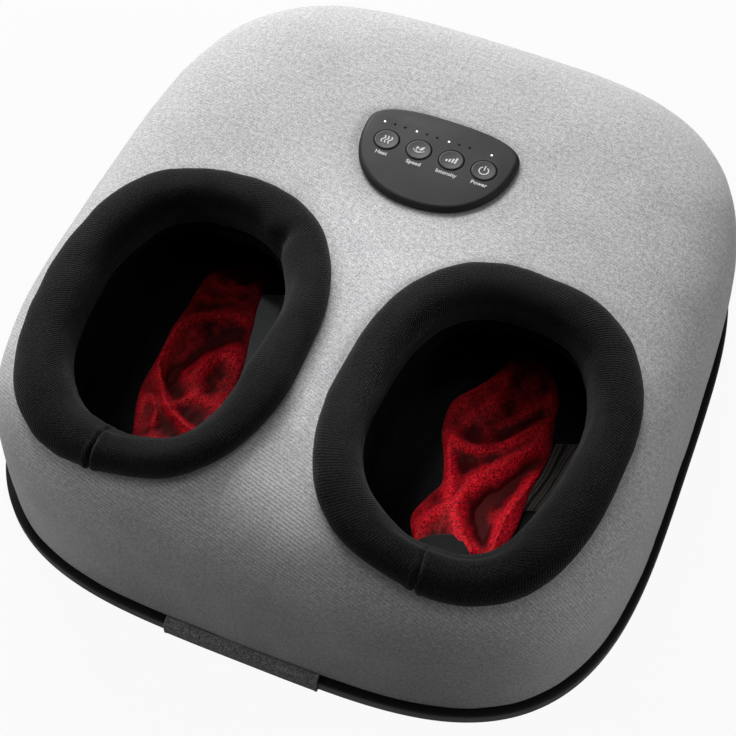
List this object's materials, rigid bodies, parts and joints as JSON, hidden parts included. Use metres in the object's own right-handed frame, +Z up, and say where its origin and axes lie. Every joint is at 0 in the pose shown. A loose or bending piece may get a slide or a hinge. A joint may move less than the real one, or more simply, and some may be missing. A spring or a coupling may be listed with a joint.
{
  "type": "foot massager",
  "caption": "Padded foot massager with two heated foot pockets, geared kneading discs under the soles and a push-button control panel.",
  "frame": {"origin": "middle of the footprint, at the floor under the rubber feet", "axes": "+Z up, +X towards the right foot's side, -Y towards the user's heels, +Y towards the control panel"},
  "size_m": [0.4114, 0.4424, 0.1482],
  "materials": {
    "grey_knit": "light grey heather knit, matt",
    "shell_plastic": "moulded, matt",
    "black_plastic": "fine texture",
    "black_neoprene": "fine black knit over foam",
    "black_lining": "black mesh lining",
    "red_satin": "red satin with a soft shine",
    "black_rubber": "matt",
    "panel_plastic": "satin",
    "button_plastic": "satin",
    "light_guide": "clear, lit white",
    "circuit_board": "green lacquer",
    "inlet_plastic": "moulded",
    "frame_plastic": "moulded",
    "motor_steel": "zinc plated",
    "steel": "turned",
    "gear_plastic": "natural acetal",
    "disc_plastic": "moulded",
    "silicone": "soft silicone",
    "airbag_film": "welded film",
    "heater_film": "heating film",
    "hose_tube": "soft tube",
    "pump_plastic": "moulded"
  },
  "bodies": {
    "housing": {"fabric_cover": "grey_knit", "front_pull_tab": "grey_knit", "top_shell": "shell_plastic", "base_pan": "black_plastic", "ankle_collar_left": "black_neoprene", "ankle_collar_right": "black_neoprene", "foot_pocket_left": "black_lining", "foot_pocket_right": "black_lining", "sole_lining_left": "red_satin", "sole_lining_right": "red_satin", "rubber_foot_rear_right": "black_rubber", "rubber_foot_rear_left": "black_rubber", "rubber_foot_front_right": "black_rubber", "rubber_foot_front_left": "black_rubber", "control_panel": "panel_plastic", "led_light_guide": "light_guide", "panel_board": "circuit_board", "main_board": "circuit_board", "power_inlet": "inlet_plastic", "mid_frame": "frame_plastic", "motor_bracket": "frame_plastic", "shaft_bearing_left": "frame_plastic", "shaft_bearing_right": "frame_plastic", "valve_block": "frame_plastic", "motor_can": "motor_steel", "disc_axle_front_left": "steel", "disc_axle_front_right": "steel", "disc_axle_rear_left": "steel", "disc_axle_rear_right": "steel", "instep_airbag_left": "airbag_film", "instep_airbag_right": "airbag_film", "side_airbag_left": "airbag_film", "side_airbag_right": "airbag_film", "heating_pad_left": "heater_film", "heating_pad_right": "heater_film", "instep_hose_left": "hose_tube", "instep_hose_right": "hose_tube", "side_hose_left": "hose_tube", "side_hose_right": "hose_tube", "air_pump": "pump_plastic"},
    "kneader_front_left": {"worm_wheel_front_left": "gear_plastic", "kneading_disc_front_left": "disc_plastic", "kneading_cap_front_left": "silicone"},
    "kneader_front_right": {"worm_wheel_front_right": "gear_plastic", "kneading_disc_front_right": "disc_plastic", "kneading_cap_front_right": "silicone"},
    "kneader_rear_left": {"worm_wheel_rear_left": "gear_plastic", "kneading_disc_rear_left": "disc_plastic", "kneading_cap_rear_left": "silicone"},
    "kneader_rear_right": {"worm_wheel_rear_right": "gear_plastic", "kneading_disc_rear_right": "disc_plastic", "kneading_cap_rear_right": "silicone"},
    "drive_shaft": {"motor_shaft": "steel", "worm_left": "steel", "worm_right": "steel"},
    "heat_button": {"button_heat": "button_plastic"},
    "speed_button": {"button_speed": "button_plastic"},
    "intensity_button": {"button_intensity": "button_plastic"},
    "power_button": {"button_power": "button_plastic"}
  },
  "joints": [
    {"name": "kneading_front_left", "type": "hinge", "parent": "housing", "child": "kneader_front_left", "pos_m": [-0.0945, -0.0605, 0.027], "axis": [0, 0, 1], "continuous": true},
    {"name": "kneading_front_right", "type": "hinge", "parent": "housing", "child": "kneader_front_right", "pos_m": [0.0945, -0.0605, 0.027], "axis": [0, 0, 1], "continuous": true},
    {"name": "kneading_rear_left", "type": "hinge", "parent": "housing", "child": "kneader_rear_left", "pos_m": [-0.0945, 0.0205, 0.027], "axis": [0, 0, 1], "continuous": true},
    {"name": "kneading_rear_right", "type": "hinge", "parent": "housing", "child": "kneader_rear_right", "pos_m": [0.0945, 0.0205, 0.027], "axis": [0, 0, 1], "continuous": true},
    {"name": "drive_shaft_spin", "type": "hinge", "parent": "housing", "child": "drive_shaft", "pos_m": [0, -0.02, 0.027], "axis": [1, 0, 0], "continuous": true},
    {"name": "heat_press", "type": "slide", "parent": "housing", "child": "heat_button", "axis": [0, -0.0223, -0.9998], "range_m": [0, 0.0008], "stiffness_N_per_m": 400},
    {"name": "speed_press", "type": "slide", "parent": "housing", "child": "speed_button", "axis": [0, -0.0223, -0.9998], "range_m": [0, 0.0008], "stiffness_N_per_m": 400},
    {"name": "intensity_press", "type": "slide", "parent": "housing", "child": "intensity_button", "axis": [0, -0.0223, -0.9998], "range_m": [0, 0.0008], "stiffness_N_per_m": 400},
    {"name": "power_press", "type": "slide", "parent": "housing", "child": "power_button", "axis": [0, -0.0223, -0.9998], "range_m": [0, 0.0008], "stiffness_N_per_m": 400}
  ],
  "couplings": [
    {"joint": "kneading_front_right", "follows": "kneading_front_left", "ratio": -1},
    {"joint": "kneading_rear_right", "follows": "kneading_front_left", "ratio": 1},
    {"joint": "kneading_rear_left", "follows": "kneading_front_left", "ratio": -1},
    {"joint": "drive_shaft_spin", "follows": "kneading_front_left", "ratio": -24}
  ]
}
